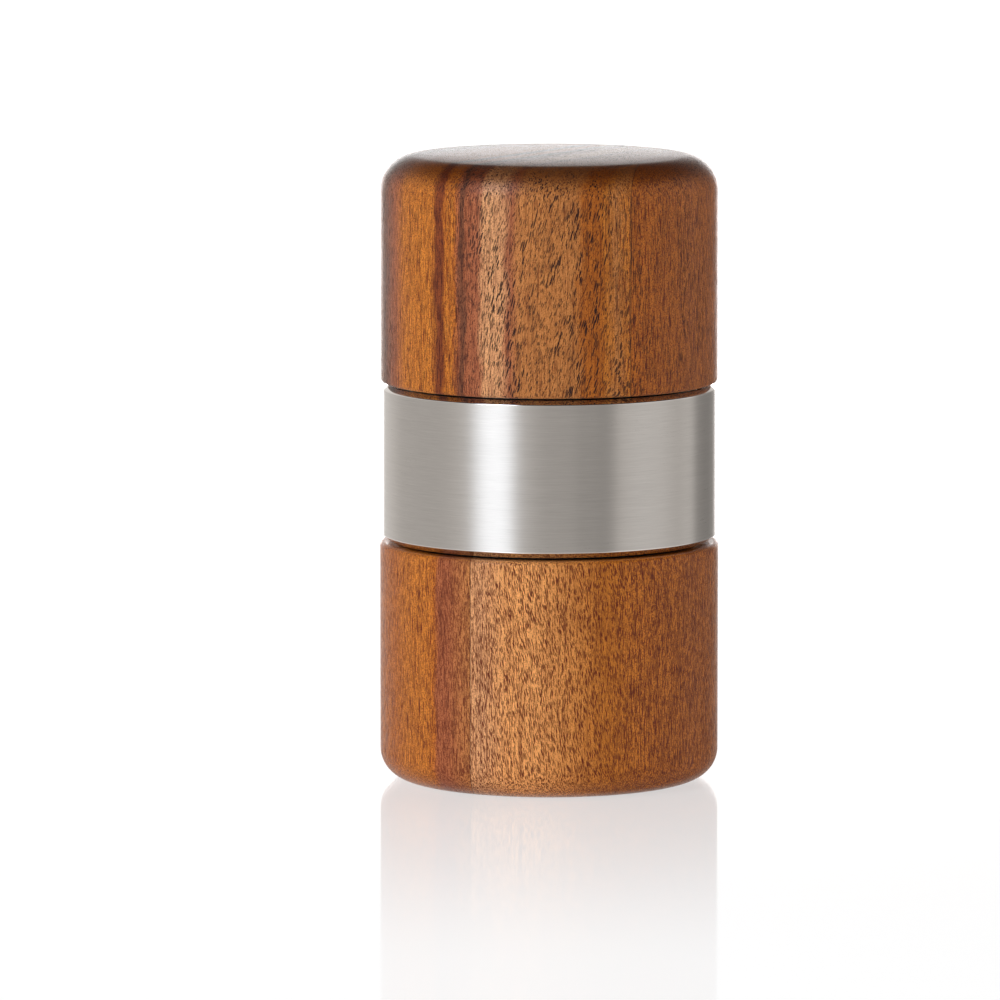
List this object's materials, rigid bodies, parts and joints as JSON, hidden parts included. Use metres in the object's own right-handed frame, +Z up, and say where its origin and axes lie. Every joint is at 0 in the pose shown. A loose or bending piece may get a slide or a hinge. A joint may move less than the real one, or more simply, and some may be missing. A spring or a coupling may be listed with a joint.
{
  "type": "nutmeg mill",
  "caption": "Hand-turned nutmeg mill: wooden cap turned over a brushed steel band that holds the grater, with a pull-off wooden cup below for the ground spice.",
  "frame": {"origin": "centre of the wooden foot, on the surface that the mill stands on", "axes": "+Z up along the mill's axis, towards the cap; the front, with the bare place on the band, faces -Y"},
  "size_m": [0.0584, 0.0584, 0.108],
  "materials": {
    "acacia_wood": "satin oiled acacia, streaked light and dark",
    "brushed_band": "brushed round the band, edges polished",
    "bright_steel": "bright stainless steel",
    "black_plastic": "fine matt moulded",
    "pale_plastic": "natural acetal, satin",
    "seal_rubber": "soft matt"
  },
  "bodies": {
    "cup": {"base_cup": "acacia_wood", "base_liner": "black_plastic", "base_seal": "seal_rubber"},
    "works": {"steel_band": "brushed_band", "works_core": "black_plastic", "grater_disc": "bright_steel", "grater_clamp_ring": "bright_steel", "grater_screw_1": "bright_steel", "grater_screw_2": "bright_steel", "grater_screw_3": "bright_steel"},
    "bearing": {"bearing_ring": "pale_plastic", "head_seal": "seal_rubber", "glide_washer": "pale_plastic"},
    "head": {"top_cap": "acacia_wood", "cap_insert": "black_plastic", "neck_ring": "black_plastic", "retaining_clip": "bright_steel", "neck_screw_1": "bright_steel", "neck_screw_2": "bright_steel", "neck_screw_3": "bright_steel", "cap_screw_1": "bright_steel", "cap_screw_2": "bright_steel", "cap_screw_3": "bright_steel", "stop_pin_1": "bright_steel", "stop_pin_2": "bright_steel", "presser_spring": "bright_steel"},
    "presser": {"presser_stem": "pale_plastic", "presser_plate": "pale_plastic", "presser_spike_1": "bright_steel", "presser_spike_2": "bright_steel", "presser_spike_3": "bright_steel", "presser_spike_4": "bright_steel", "presser_screw": "bright_steel"}
  },
  "joints": [
    {"name": "works_lift", "type": "slide", "parent": "cup", "child": "works", "axis": [0, 0, 1], "range_m": [0, 0.03]},
    {"name": "head_lift", "type": "slide", "parent": "works", "child": "bearing", "axis": [0, 0, 1], "range_m": [0, 0.03]},
    {"name": "head_spin", "type": "hinge", "parent": "bearing", "child": "head", "pos_m": [0, 0, 0.064], "axis": [0, 0, 1], "continuous": true},
    {"name": "presser_travel", "type": "slide", "parent": "head", "child": "presser", "axis": [0, 0, 1], "range_m": [0, 0.02], "stiffness_N_per_m": 350, "springref_m": -0.008, "deforming": ["presser_spring"]}
  ]
}
